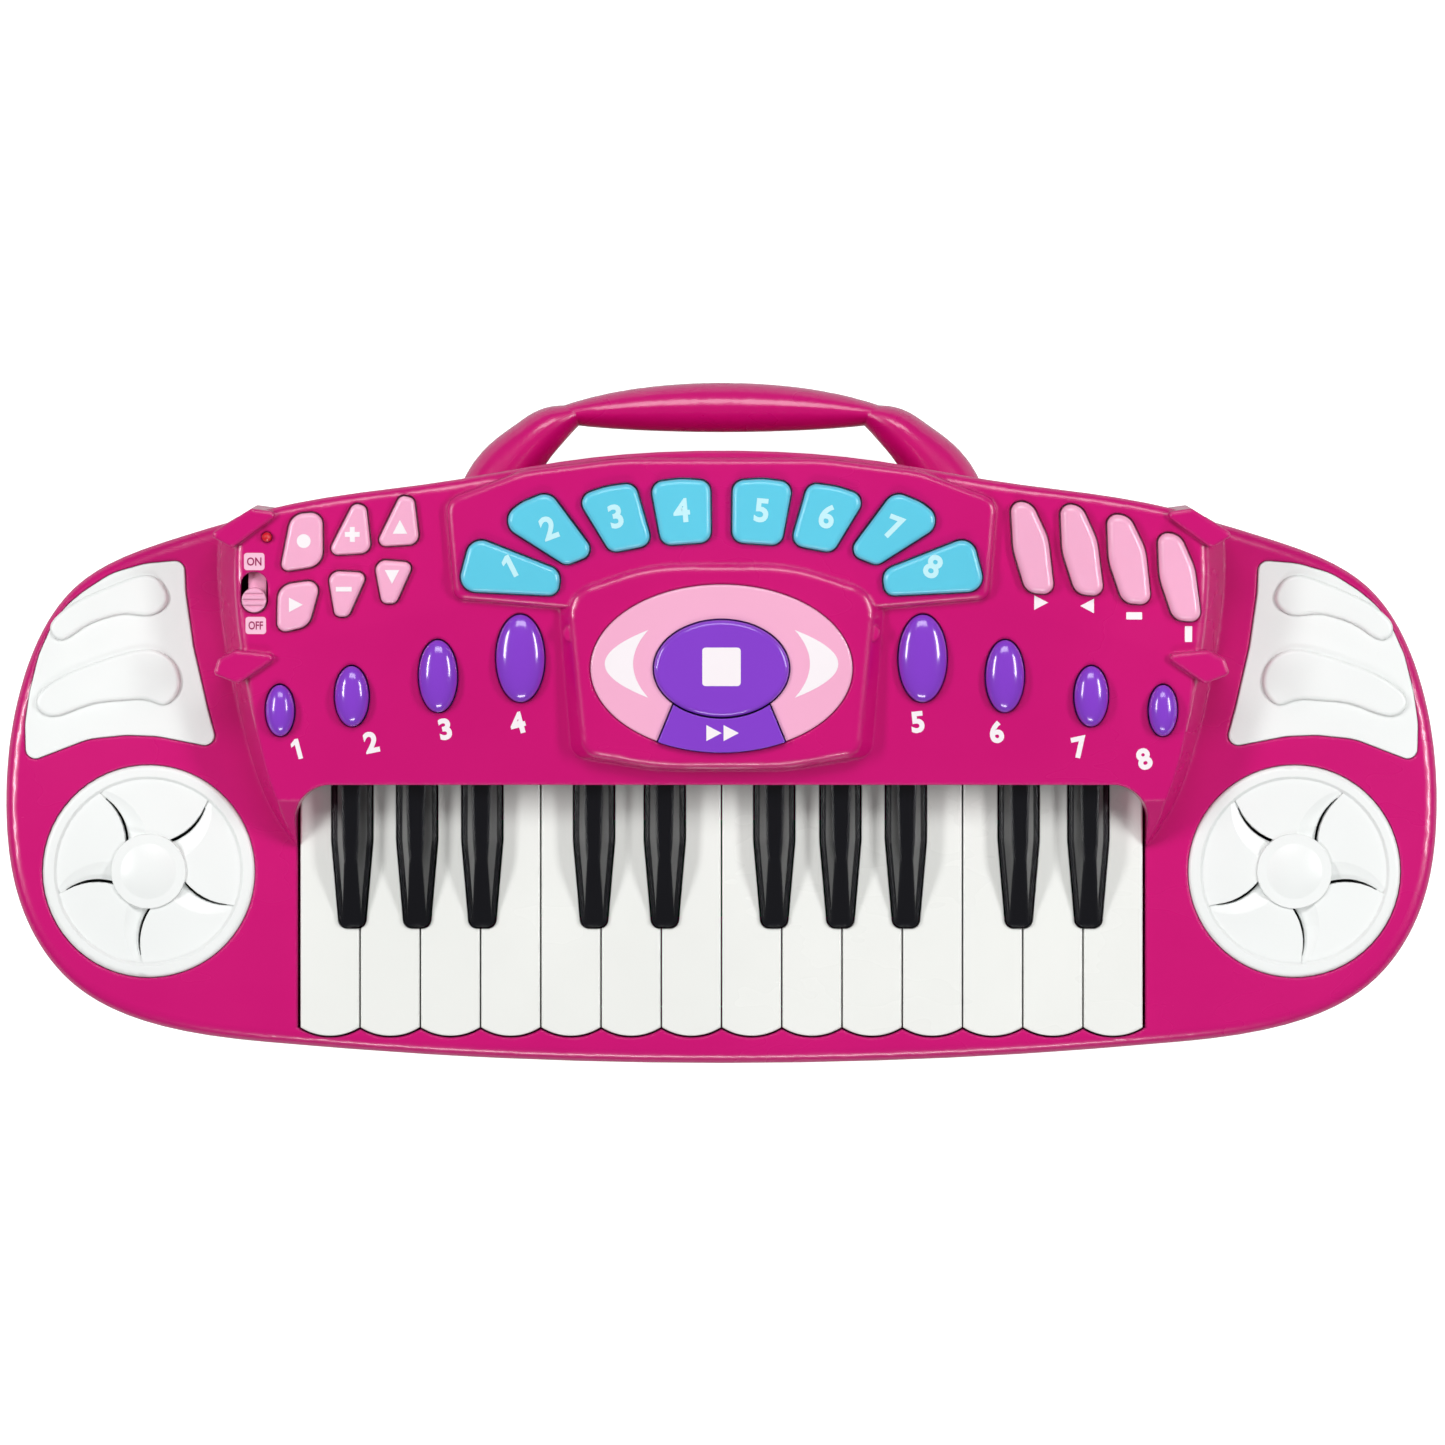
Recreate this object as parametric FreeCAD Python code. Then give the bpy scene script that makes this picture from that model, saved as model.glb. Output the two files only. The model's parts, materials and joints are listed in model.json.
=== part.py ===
import FreeCAD, Part
import math
import os

# Toy electronic keyboard with a carrying handle: fourteen white and ten black keys, a raised
# console of buttons behind them, and a round speaker grille in each rounded end.
# Lengths are in millimetres. X runs along the keys, Y away from the player, Z up from the
# table. The origin is on the table, under the middle of the whole outline.

V = FreeCAD.Vector

# Casing
half_length = 220.3
casing_front = -104.7
casing_rear = 83.3
wall = 2.4
foot_height = 1.5
foot_radius = 7.0
parting = 20.0
deck = 25.5
rim_rounding = 4.0
bottom_rounding = 3.0

# Keys
white_count = 14
key_pitch = 18.5
key_gap = 0.45
keybed_side_gap = 0.7
keybed_front = -96.6
keybed_corner = 11.0
keybed_rear = -18.8
white_top = 27.0
white_height = 9.0
white_front_gap = 0.6
white_front_bulge = 2.6
key_skin = 1.6
black_rise = 7.6
black_half_width = 6.0
black_tip = -62.6
black_knee = -36.0
black_tip_half_width = 3.7
black_facet_end = -42.0
black_facet_half_width = 3.0
hinge_y = 8.0
hinge_z = 20.0
rail_radius = 1.5
rail_clearance = 0.35
rail_rib = 1.4
skirt = 1.6
skirt_bottom = 14.0

# Console: a raised body with an inclined top, set by its height over the rear of the keybed
console_height = 43.0
console_tilt = 5.5
console_rounding = 3.0
crease_y = 43.0
crease_radius = 418.0
crease_fall_deg = 3.0
console_draft = 0.3
console_rear_wall = 1.4
horn_front = -40.0
horn_slope_deg = 42.0
arch_rise = 3.0
arch_lean = 1.0
bubble_rise = 4.5
tier_foot = -4.0

# Buttons
button_gap = 0.45
flange_lip = 0.8
flange_gap = 0.35
flange_thickness = 1.2
button_travel = 1.4
stem_radius = 1.8
board_depth = 12.6
board_thickness = 1.6
dome_height = 1.2

# Speakers and wing panels
speaker_x = 176.0
speaker_y = -45.5
grille_radius = 32.6
fan_radius = 28.3
collar_radius = 11.5
hub_radius = 10.3
insert_gap = 0.2
insert_proud = 0.8
insert_flange = 1.6
blade_count = 5
blade_turn = 59.0
slit_end = 26.0
scoop_ball = 45.0
scoop_rim = 17.7
scoop_middle = 19.6

# Handle
handle_z = 23.5
handle_rear = 104.7
grip_half_depth = 7.6
grip_half_height = 11.0

# Screws, battery bay and boards
boss_radius = 4.5
post_radius = 4.0
screw_radius = 1.5
screw_head_radius = 3.1
screw_head_height = 2.2
screw_clearance = 0.15
counterbore_depth = 4.5
boss_top = 12.0
screw_length = 15.0
cell_radius = 7.1
cell_length = 50.0
bay_clearance = 0.6
bay_wall = 1.6
bay_y = 40.0
door_thickness = 1.4
key_board_top = 12.0
led_radius = 1.5

# Values that follow from the ones above
screw_tip = foot_height + counterbore_depth + screw_length
keybed_half = white_count * key_pitch / 2 + keybed_side_gap
floor_top = foot_height + wall
tilt = math.radians(console_tilt)
crease_fall = math.tan(math.radians(crease_fall_deg))
white_bottom = white_top - white_height
black_top = white_top + black_rise
panel = FreeCAD.Placement(V(0, keybed_rear, console_height), FreeCAD.Rotation(V(1, 0, 0), console_tilt))
far = 3 * half_length


def panel_y(y):
    """Distance up the inclined console top of a point that lies at y in plan."""
    return (y - keybed_rear) / math.cos(tilt)


crease_centre = panel_y(crease_y) - crease_radius


def band_fall(x, y):
    """How far the conical lower band lies under the console's plane at a plan point."""
    reach = math.hypot(x, panel_y(y) - crease_centre)
    return max(0.0, (crease_radius - reach) * crease_fall)


# Drawing helpers

def grow_polygon(points, grow):
    """Moves each side of an anticlockwise polygon outwards by grow."""
    grown = []
    count = len(points)
    for i in range(count):
        x0, y0 = points[i - 1]
        x1, y1 = points[i]
        x2, y2 = points[(i + 1) % count]
        a = math.hypot(x1 - x0, y1 - y0)
        b = math.hypot(x2 - x1, y2 - y1)
        n0 = ((y1 - y0) / a, (x0 - x1) / a)
        n1 = ((y2 - y1) / b, (x1 - x2) / b)
        reach = grow / (1 + n0[0] * n1[0] + n0[1] * n1[1])
        grown.append((x1 + (n0[0] + n1[0]) * reach, y1 + (n0[1] + n1[1]) * reach))
    return grown


def rounded_outline(points, radius, grow=0.0, z=0.0):
    """Closed wire round a polygon whose corners are arcs; radius may differ by corner."""
    radii = radius if isinstance(radius, list) else [radius] * len(points)
    area = sum(points[i - 1][0] * points[i][1] - points[i][0] * points[i - 1][1] for i in range(len(points)))
    if area < 0:
        points = points[::-1]
        radii = radii[::-1]
    corners = [V(x, y, z) for x, y in grow_polygon(points, grow)]
    count = len(corners)
    starts, ends, middles = [], [], []
    for i in range(count):
        p = corners[i]
        back = (corners[i - 1] - p).normalize()
        ahead = (corners[(i + 1) % count] - p).normalize()
        half = back.getAngle(ahead) / 2
        r = radii[i] + grow
        reach = r / math.tan(half)
        bisector = (back + ahead).normalize()
        starts.append(p + back * reach)
        ends.append(p + ahead * reach)
        middles.append(p + bisector * (r / math.sin(half) - r))
    edges = []
    for i in range(count):
        edges.append(Part.Arc(starts[i], middles[i], ends[i]).toShape())
        following = starts[(i + 1) % count]
        if (following - ends[i]).Length > 1e-6:
            edges.append(Part.makeLine(ends[i], following))
    return Part.Wire(edges)


def spline_outline(points, z=0.0):
    """Closed smooth wire through the points."""
    curve = Part.BSplineCurve()
    curve.interpolate([V(x, y, z) for x, y in points], PeriodicFlag=True)
    return Part.Wire([curve.toShape()])


def ellipse_outline(cx, cy, a, b, turn=0.0, z=0.0):
    """Ellipse with semi-axes a along X and b along Y, turned about its centre."""
    if a >= b:
        ellipse = Part.Ellipse(V(0, 0, 0), a, b)
    else:
        ellipse = Part.Ellipse(V(0, b, 0), V(a, 0, 0), V(0, 0, 0))
    wire = Part.Wire([ellipse.toShape()])
    wire.Placement = FreeCAD.Placement(V(cx, cy, z), FreeCAD.Rotation(V(0, 0, 1), turn))
    return wire


def prism(wire, low, high):
    """Solid between two heights on a wire drawn at z = 0."""
    face = Part.Face(wire)
    face.translate(V(0, 0, low))
    return face.extrude(V(0, 0, high - low))


def box(x0, x1, y0, y1, z0, z1):
    return Part.makeBox(x1 - x0, y1 - y0, z1 - z0, V(x0, y0, z0))


def cylinder(radius, x, y, z0, z1):
    return Part.makeCylinder(radius, z1 - z0, V(x, y, z0))


def mirrored(shape):
    return shape.mirror(V(0, 0, 0), V(1, 0, 0))


def on_panel(shape):
    """Places a shape drawn in the console's inclined frame."""
    placed = shape.copy()
    placed.Placement = panel.multiply(placed.Placement)
    return placed


def round_top(shape, height, radius):
    """Rounds the edges that lie in the flat face at a height."""
    edges = [e for e in shape.Edges
             if abs(e.BoundBox.ZMin - height) < 1e-4 and abs(e.BoundBox.ZMax - height) < 1e-4]
    return shape.makeFillet(radius, edges)


def in_panel_frame(point):
    return panel.inverse().multVec(point)


def in_world(y, local_z):
    """Height over the table of a point given by its plan place and height in the panel frame."""
    return console_height + (y - keybed_rear) * math.tan(tilt) + local_z / math.cos(tilt)


def export(shape, node):
    shape.exportStep("parts/" + node + ".step")


# Outlines that more than one piece uses

def casing_points():
    """Right half of the casing's outline, from the front round to the rear."""
    front_radius = 1510.0
    front = [(x, casing_front + x * x / (2 * front_radius)) for x in (45.0, 90.0, 135.0)]
    end = [(half_length - 52.3, casing_front + 10.4), (half_length - 20.3, casing_front + 24.7),
           (half_length - 5.3, casing_front + 46.7), (half_length, casing_front + 79.0),
           (half_length - 4.8, casing_rear - 71.3), (half_length - 21.3, casing_rear - 41.3),
           (half_length - 52.3, casing_rear - 26.3), (half_length - 95.3, casing_rear - 15.0),
           (half_length - 136.3, casing_rear - 9.3), (half_length - 175.3, casing_rear - 2.8)]
    return front + end


def casing_outline(inset):
    """Smooth outline of the casing, or the same line moved square to itself by inset."""
    right = casing_points()
    left = [(-x, y) for x, y in right[::-1]]
    wire = spline_outline([(0, casing_front)] + right + [(0, casing_rear)] + left)
    if not inset:
        return wire
    curve = wire.Edges[0].Curve
    count = 64
    moved = []
    for i in range(count):
        at = curve.LastParameter * i / count
        along = curve.tangent(at)[0]
        point = curve.value(at) + V(-along.y, along.x, 0) * inset
        moved.append((point.x, point.y))
    return spline_outline(moved)


def console_outline(narrow, z):
    """Console sides: beside the keybed, out past the lower fins and straight back."""
    side = [(keybed_half - 0.4, keybed_rear - 19.6), (keybed_half + 9.0, keybed_rear - 5.7),
            (keybed_half + 16.5, keybed_rear + 16.8), (keybed_half + 21.4, keybed_rear + 40.0),
            (keybed_half + 23.8, keybed_rear + 59.0), (keybed_half + 21.0, keybed_rear + 92.0)]
    right = [V(x - narrow, y, z) for x, y in side]
    left = [V(-p.x, p.y, z) for p in right]
    rear = casing_rear + 20
    curves = []
    for run in (right, left):
        curve = Part.BSplineCurve()
        curve.interpolate(run)
        curves.append(curve.toShape())
    edges = [curves[0], Part.makeLine(right[-1], V(right[-1].x, rear, z)),
             Part.makeLine(V(right[-1].x, rear, z), V(-right[-1].x, rear, z)),
             Part.makeLine(V(-right[-1].x, rear, z), left[-1]), curves[1],
             Part.makeLine(left[0], right[0])]
    return Part.Wire(Part.__sortEdges__(edges))


def keybed_outline(grow):
    x, r = keybed_half, keybed_corner
    points = [(-x, keybed_front), (x, keybed_front), (x, keybed_rear), (-x, keybed_rear)]
    return rounded_outline(points, [1.0, 1.0, r, r], grow)


def white_middle(index):
    return (index - (white_count - 1) / 2) * key_pitch


def white_front_radius():
    """Radius of the arc through a white key's two front corners and the middle of its front."""
    half = (key_pitch - key_gap) / 2
    return (half ** 2 + white_front_bulge ** 2) / (2 * white_front_bulge)


def key_well(low, high):
    """Key opening, whose front edge follows the bowed fronts of the white keys."""
    radius = white_front_radius()
    half, front = keybed_half + 1, keybed_front
    centre = front + white_front_gap + radius
    cusps = box(-half, half, front - 1, front + radius / 2, low - 1, high + 1)
    bows = [cylinder(radius + white_front_gap, white_middle(i), centre, low - 2, high + 2)
            for i in range(white_count)]
    return prism(keybed_outline(0), low, high).cut(cusps.cut(bows))


def arch_outline(grow):
    """Raised arch behind the centre that carries the rhythm buttons."""
    points = [(-81.5, 37.0), (0, 30.0), (81.5, 37.0), (84.0, 68.0), (60.0, 77.0), (30.0, 80.8),
              (-30.0, 80.8), (-60.0, 77.0), (-84.0, 68.0)]
    return rounded_outline([(x, panel_y(y)) for x, y in points], [4, 30, 4, 6, 30, 60, 60, 30, 6], grow)


def bubble_outline(grow):
    """Centre bubble round the stop button, wider at the back than at the keys."""
    points = [(-46.5, -10.5), (-20, -14.6), (20, -14.6), (46.5, -10.5), (52.5, 41.0), (22, 50.2),
              (-22, 50.2), (-52.5, 41.0)]
    return rounded_outline([(x, panel_y(y)) for x, y in points], [5, 60, 60, 5, 8, 60, 60, 8], grow)


def arch_top(grow):
    return arch_outline(grow - arch_lean)


def bubble_top(grow):
    """Flat top of the bubble, whose two sides slope more than its front and back."""
    points = [(-41.5, -9.0), (-19, -13.4), (19, -13.4), (41.5, -9.0), (46.0, 39.5), (21, 48.2),
              (-21, 48.2), (-46.0, 39.5)]
    return rounded_outline([(x, panel_y(y)) for x, y in points], [6, 60, 60, 6, 10, 60, 60, 10], grow)


def fin_outline(points):
    return rounded_outline([(x, panel_y(y)) for x, y in points], 1.3)


def wing_outline(grow):
    """Right-hand wing panel, drawn anticlockwise: inner side, bottom arc and outer side."""
    x, y = speaker_x, speaker_y
    corners = [(x - 21.4, y + 37.9), (x - 2.7, y + 41.5), (x + 6.7, y + 41.9), (x + 18.4, y + 40.7),
               (x + 37.6, y + 33.3), (x + 37.9, y + 45.5), (x + 36.5, y + 55.1), (x + 33.7, y + 66.4),
               (x + 29.7, y + 75.4), (x + 25.3, y + 81.5), (x + 20.0, y + 85.9), (x + 11.4, y + 91.5),
               (x + 1.0, y + 94.5), (x - 11.0, y + 95.5), (x - 11.4, y + 85.6), (x - 13.8, y + 68.7),
               (x - 18.0, y + 50.5)]
    sharp, soft = 3.0, 20.0
    radii = [sharp, soft, soft, soft, sharp] + [soft] * 8 + [sharp, soft, soft, soft]
    return rounded_outline(corners, radii, grow)


# Buttons, each with its outline in the console's frame and the height of the deck round it

def placed(points, side=1):
    return [(side * x, panel_y(y)) for x, y in points]


def cap_outline(points, radius):
    """Function that draws a cap's outline, grown by a given amount."""
    return lambda grow: rounded_outline(points, radius, grow)


def oval_outline(x, y, a, b):
    return lambda grow: ellipse_outline(x, y, a + grow, b + grow)


ring_a = 39.6
ring_b = 25.4
ring_y = 17.0
stop_a = 20.4
stop_b = 14.7
ring_recess = 1.6
ring_thickness = 2.4
demo_half_top = 14.6
demo_half_bottom = 20.6

rhythm_caps = [
    [(-75.5, 57.0), (-48.5, 46.3), (-49.5, 38.8), (-80.0, 40.3)],
    [(-67.5, 61.0), (-60.5, 66.8), (-52.0, 70.3), (-38.0, 51.5), (-47.0, 48.0)],
    [(-43.7, 68.6), (-35.0, 71.6), (-26.2, 72.8), (-20.8, 54.2), (-33.5, 51.8)],
    [(-21.5, 72.8), (-12.5, 74.0), (-3.4, 73.4), (-3.2, 55.0), (-18.0, 54.0)]]
rhythm_rounding = [[4.5, 4.0, 3.2, 4.5], [4.5, 14, 4.5, 3.2, 3.2], [3.5, 25, 3.5, 3.5, 3.5],
                   [3.5, 25, 3.5, 3.5, 3.5]]
voice_caps = [(134.0, 3.8, 4.3, 7.8), (112.2, 8.1, 5.1, 9.2), (86.0, 14.2, 5.8, 11.0),
              (61.0, 19.6, 7.3, 13.3)]
drum_caps = [
    [(87.3, 67.3), (93.7, 66.6), (98.7, 56.0), (100.8, 39.0), (92.2, 39.6), (88.2, 52.5)],
    [(102.3, 66.5), (108.7, 65.8), (113.5, 55.5), (115.8, 38.4), (107.2, 39.2), (103.0, 52.0)],
    [(116.4, 63.5), (123.2, 62.7), (128.2, 52.5), (130.1, 35.8), (121.5, 36.5), (117.1, 49.0)],
    [(131.8, 58.0), (138.6, 57.0), (143.1, 47.0), (145.4, 30.6), (136.9, 31.3), (132.5, 44.0)]]
drum_rounding = [3.0, 5.0, 16, 3.0, 4.5, 18]
small_caps = {
    "record_button": ([(-130.0, 63.2), (-120.6, 63.9), (-120.6, 47.8), (-133.6, 45.8)], [5, 3.5, 5, 2.0]),
    "playback_button": ([(-134.2, 41.8), (-121.0, 43.6), (-125.0, 29.5), (-134.6, 27.2)], [5, 3.0, 5, 2.5]),
    "volume_up_button": ([(-111.2, 66.6), (-107.4, 65.6), (-105.9, 51.6), (-119.4, 50.8)], [2.2, 2.2, 3, 2]),
    "volume_down_button": ([(-119.2, 46.2), (-107.0, 45.5), (-113.0, 32.3), (-117.0, 32.3)], [3, 2, 2.2, 2]),
    "tempo_up_button": ([(-97.0, 69.0), (-92.9, 68.0), (-91.3, 54.2), (-104.8, 53.4)], [2.2, 2.2, 3, 2]),
    "tempo_down_button": ([(-105.2, 49.6), (-93.0, 48.6), (-98.6, 36.3), (-102.8, 36.3)], [3, 2, 2.2, 2])}
switch_place = (-141.5, 37.3)
switch_half_width = 3.7
switch_travel = 4.4
led_place = (-137.5, 56.3)


def ring_outline(grow):
    return ellipse_outline(0, panel_y(ring_y), ring_a + grow, ring_b + grow)


def ring_window():
    """Opening under the ring: its own outline less a ledge that the ring rests on."""
    return ring_outline(-2.4)


def stop_outline(grow):
    return ellipse_outline(0, panel_y(ring_y), stop_a + grow, stop_b + grow)


def demo_wedge(grow):
    """Wedge between the ring's two ends, wider towards the keys."""
    high = panel_y(ring_y)
    low = panel_y(ring_y - ring_b - 6)
    slope = (demo_half_bottom - demo_half_top) / (ring_b - 11.0)
    spread = (ring_b + 6) * slope
    top = demo_half_top - 11.0 * slope + grow
    return rounded_outline([(-top, high), (top, high), (top + spread, low), (-top - spread, low)], 0.5)


def demo_region(grow, low, high):
    """The wedge, kept inside the ring's outline and outside the stop button's."""
    wedge = prism(demo_wedge(grow), low, high)
    inside = prism(ring_outline(grow), low, high)
    stop = prism(stop_outline(button_gap), low - 1, high + 1)
    return wedge.common(inside).cut(stop)


def switch_outline(grow, travel):
    """Slot with round ends, or with no travel the knob's own round head."""
    x, y = switch_place[0], panel_y(switch_place[1])
    r = switch_half_width + grow
    if not travel:
        return Part.Wire([Part.makeCircle(r, V(x, y, 0))])
    ends = [Part.Arc(V(x - r, y, 0), V(x, y - r, 0), V(x + r, y, 0)).toShape(),
            Part.makeLine(V(x + r, y, 0), V(x + r, y + travel, 0)),
            Part.Arc(V(x + r, y + travel, 0), V(x, y + travel + r, 0), V(x - r, y + travel, 0)).toShape(),
            Part.makeLine(V(x - r, y + travel, 0), V(x - r, y, 0))]
    return Part.Wire(ends)


def middle(points):
    return (sum(p[0] for p in points) / len(points), sum(p[1] for p in points) / len(points))


def list_buttons():
    """Every push button but the stop and demo pair: name, outline, deck height, rise and stem."""
    found = []
    for i in range(8):
        side = 1 if i < 4 else -1
        k = i if i < 4 else 7 - i
        points = placed(rhythm_caps[k], side)
        found.append({"name": "rhythm_button_%d" % (i + 1),
                      "outline": cap_outline(points, rhythm_rounding[k]), "deck": arch_rise, "rise": 2.6,
                      "rounding": 1.6, "centre": middle(points), "sink": 0.0})
    for i in range(8):
        side = -1 if i < 4 else 1
        x, y, a, b = voice_caps[i if i < 4 else 7 - i]
        found.append({"name": "voice_button_%d" % (i + 1),
                      "outline": oval_outline(side * x, panel_y(y), a, b), "deck": -band_fall(x, y),
                      "rise": 4.4, "dome": (a, b), "centre": (side * x, panel_y(y)),
                      "sink": b * crease_fall + 0.1})
    for i, points in enumerate(drum_caps):
        points = placed(points)
        found.append({"name": "drum_button_%d" % (i + 1), "outline": cap_outline(points, drum_rounding),
                      "deck": 0.0, "rise": 3.4, "rounding": 2.2, "centre": middle(points), "sink": 0.0})
    for name, (points, radii) in small_caps.items():
        points = placed(points)
        found.append({"name": name, "outline": cap_outline(points, radii), "deck": 0.0, "rise": 2.4,
                      "rounding": 1.4, "centre": middle(points), "sink": 0.0})
    return found


buttons = list_buttons()


def make_button(b):
    """Domed cap with a flange that holds it under the deck and a stem to its contact."""
    top = b["deck"] + b["rise"]
    flange_top = b["deck"] - wall - flange_gap - b["sink"]
    low = flange_top - flange_thickness
    if "dome" in b:
        cap = prism(b["outline"](0), low, b["deck"] + 0.6).fuse(dome(b, top))
    else:
        cap = round_top(prism(b["outline"](0), low, top), top, b["rounding"])
    flange = prism(b["outline"](flange_lip), low, flange_top)
    return on_panel(cap.multiFuse([flange, stem(b["centre"][0], b["centre"][1], low)]).removeSplitter())


def dome(b, top):
    """Upper half of an ellipsoid on the cap's oval outline."""
    base = b["deck"] + 0.6
    half = Part.makeSphere(1.0, V(0, 0, 0), V(0, 0, 1), 0, 90, 360)
    stretch = FreeCAD.Matrix()
    stretch.scale(b["dome"][0], b["dome"][1], top - base)
    half = half.transformGeometry(stretch)
    half.translate(V(b["centre"][0], b["centre"][1], base))
    return half


def stem(x, y, high):
    """Stem that ends one stroke and a small clearance over its contact dome."""
    return cylinder(stem_radius, x, y, -board_depth + dome_height + button_travel + 0.3, high + 0.2)


# Casing shells

def console_block(inset):
    """Drafted console under its inclined top; inset gives the cavity inside it."""
    low, high = parting, console_height + 20
    wide = inset - console_draft * (deck - low)
    narrow = inset + console_draft * (high - deck)
    sides = Part.makeLoft([console_outline(wide, low), console_outline(narrow, high)], True, True)
    rear = prism(casing_outline(0.8 + (console_rear_wall if inset else 0)), low, high)
    slab = box(-far, far, -far, far, -far, -inset)
    horns = slab.copy()
    horns.Placement = FreeCAD.Placement(V(0, horn_front, deck), FreeCAD.Rotation(V(1, 0, 0), horn_slope_deg))
    return sides.common(rear).common(on_panel(slab)).common(horns)


def band_cutter(inset):
    """Everything over the conical lower band, in the console's frame."""
    depth = crease_radius * crease_fall
    cone = Part.makeCone(0, crease_radius, depth, V(0, crease_centre, -depth - inset))
    cap = Part.makeCylinder(crease_radius, 40, V(0, crease_centre, -inset))
    return on_panel(cone.fuse(cap))


def sloped(foot, top, high, inset):
    """Block that leans in from its foot outline, under the console's surface, to its top outline."""
    ends = []
    for outline, z in ((foot, tier_foot), (top, high)):
        wire = outline(-inset)
        wire.translate(V(0, 0, z))
        ends.append(wire)
    return Part.makeLoft(ends, True, True)


def tier(foot, top, rise, rounding):
    return on_panel(round_top(sloped(foot, top, rise, 0), rise, rounding))


def tier_cavities(foot, top, rise):
    return [on_panel(prism(foot(-wall), tier_foot - 4, tier_foot)),
            on_panel(sloped(foot, top, rise - wall, wall))]


def handle_section(x, y, half_width, half_height, heading):
    """Upright ellipse across the handle; heading is the direction of the path in plan."""
    wire = Part.Wire([Part.Ellipse(V(0, half_height, 0), V(half_width, 0, 0), V(0, 0, 0)).toShape()])
    if half_width > half_height:
        wire = Part.Wire([Part.Ellipse(V(half_width, 0, 0), V(0, half_height, 0), V(0, 0, 0)).toShape()])
    stand = FreeCAD.Rotation(V(1, 0, 0), 90)
    turn = FreeCAD.Rotation(V(0, 0, 1), heading)
    wire.Placement = FreeCAD.Placement(V(x, y, handle_z), turn.multiply(stand))
    return wire


def handle(inset):
    """Spindle-shaped grip carried by two arms that sweep back from the console."""
    d, h, middle_y = grip_half_depth - inset, grip_half_height - inset, handle_rear - grip_half_depth
    stations = [(0, middle_y, d, h), (25.0, middle_y - 0.5, d - 1.1, h - 0.6),
                (41.0, middle_y - 1.5, d - 3.2, h - 2.0)]
    if not inset:
        stations.append((54.0, middle_y - 2.8, d - 6.3, h - 4.0))
    stations = [(-x, y, w, t) for x, y, w, t in stations[:0:-1]] + stations
    grip = Part.makeLoft([handle_section(x, y, w, t, 90) for x, y, w, t in stations], True, False)
    arm_stations = [(73.0, 66.0, 10.0, 11.0, 45), (69.1, 73.1, 10.1, 11.5, 45), (63.2, 81.2, 8.8, 11.5, 45),
                    (57.5, 87.2, 7.3, 11.5, 45), (52.6, 91.3, 6.3, 11.0, 50), (47.5, 94.0, 4.4, 9.5, 58),
                    (42.0, 95.5, 2.2, 7.0, 70)]
    if inset:
        arm_stations = arm_stations[:-2]
    sections = [handle_section(x, y, w - inset, t - inset, heading) for x, y, w, t, heading in arm_stations]
    arm = Part.makeLoft(sections, True, False)
    return [grip, arm, mirrored(arm)]


def slab_between(low, high):
    return box(-far, far, -far, far, low, high)


deck_screws = [(138.0, -84.0), (148.5, -17.0), (158.0, 51.5)]
console_screw = (75.5, 26.5)
screw_places = deck_screws + [console_screw]
board_posts = [(45.5, 27.5, bubble_rise), (126.0, 21.0, -1.0), (79.0, 62.5, arch_rise)]


def both_sides(places):
    return [(side * x, y) for x, y in places for side in (1, -1)]


def make_upper_casing():
    """Top moulding: rim, inclined console with its raised tiers and fins, and half the handle."""
    body = round_top(prism(casing_outline(0), parting, deck), deck, rim_rounding)
    block = console_block(0)
    top_edges = [e for e in block.Edges if all(abs(in_panel_frame(v.Point).z) < 1e-3 for v in e.Vertexes)]
    block = block.makeFillet(console_rounding, top_edges).cut(band_cutter(0))
    tiers = [tier(arch_outline, arch_top, arch_rise, 2.0),
             tier(bubble_outline, bubble_top, bubble_rise, 3.0)]
    solid = body.multiFuse([block] + tiers + fins() + handle(0))
    cavities = [prism(casing_outline(wall), parting - 1, deck - wall),
                console_block(wall).cut(band_cutter(wall))]
    cavities += tier_cavities(arch_outline, arch_outline, arch_rise)
    cavities += tier_cavities(bubble_outline, bubble_top, bubble_rise)
    opening_wall = prism(keybed_outline(skirt), parting - 10, console_height + 20)
    shell = solid.cut([cavity.cut(opening_wall) for cavity in cavities] + handle(wall))
    shell = shell.common(slab_between(parting, console_height + 40))
    shell = shell.cut(key_well(parting - 10, console_height + 20))
    shell = shell.cut(key_tunnels() + holes_in_upper_casing())
    return shell.multiFuse([keybed_skirt()] + upper_posts() + board_supports()).Solids[0]


def key_tunnels():
    """Openings under the console that the tails of the white and of the black keys pass through."""
    front, rear = keybed_rear - keybed_corner, hinge_y + 10
    white = box(-keybed_half, keybed_half, front, rear, parting - 10, white_top + 0.8)
    reach = key_pitch * (white_count / 2 - 1) + 2 * black_half_width
    black = box(-reach, reach, keybed_rear - 1, rear, parting - 10, black_top + 0.9)
    return [white, black]


def holes_in_upper_casing():
    """Cut-outs for every button, the ring, the lamp, the switch and the white side inserts."""
    cuts = [on_panel(prism(b["outline"](button_gap), b["deck"] - 12, b["deck"] + 8)) for b in buttons]
    pockets = [b for b in buttons if b["name"].startswith("drum")]
    cuts += [on_panel(prism(b["outline"](flange_lip + button_gap), -12, -wall - 0.05)) for b in pockets]
    cuts.append(on_panel(prism(ring_outline(insert_gap), bubble_rise - ring_recess, bubble_rise + 4)))
    cuts.append(on_panel(prism(ring_window(), bubble_rise - 12, bubble_rise + 4)))
    cuts.append(on_panel(demo_region(button_gap, bubble_rise - 12, bubble_rise + 4)))
    cuts.append(on_panel(prism(switch_outline(button_gap, switch_travel), -12, 8)))
    cuts.append(on_panel(cylinder(led_radius + insert_gap, led_place[0], panel_y(led_place[1]), -12, 8)))
    for side in (speaker_x, -speaker_x):
        cuts.append(cylinder(grille_radius + insert_gap, side, speaker_y, deck - 8, deck + 2))
    wing = prism(wing_outline(insert_gap), deck - 8, deck + 2)
    return cuts + [wing, mirrored(wing)]


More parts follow.
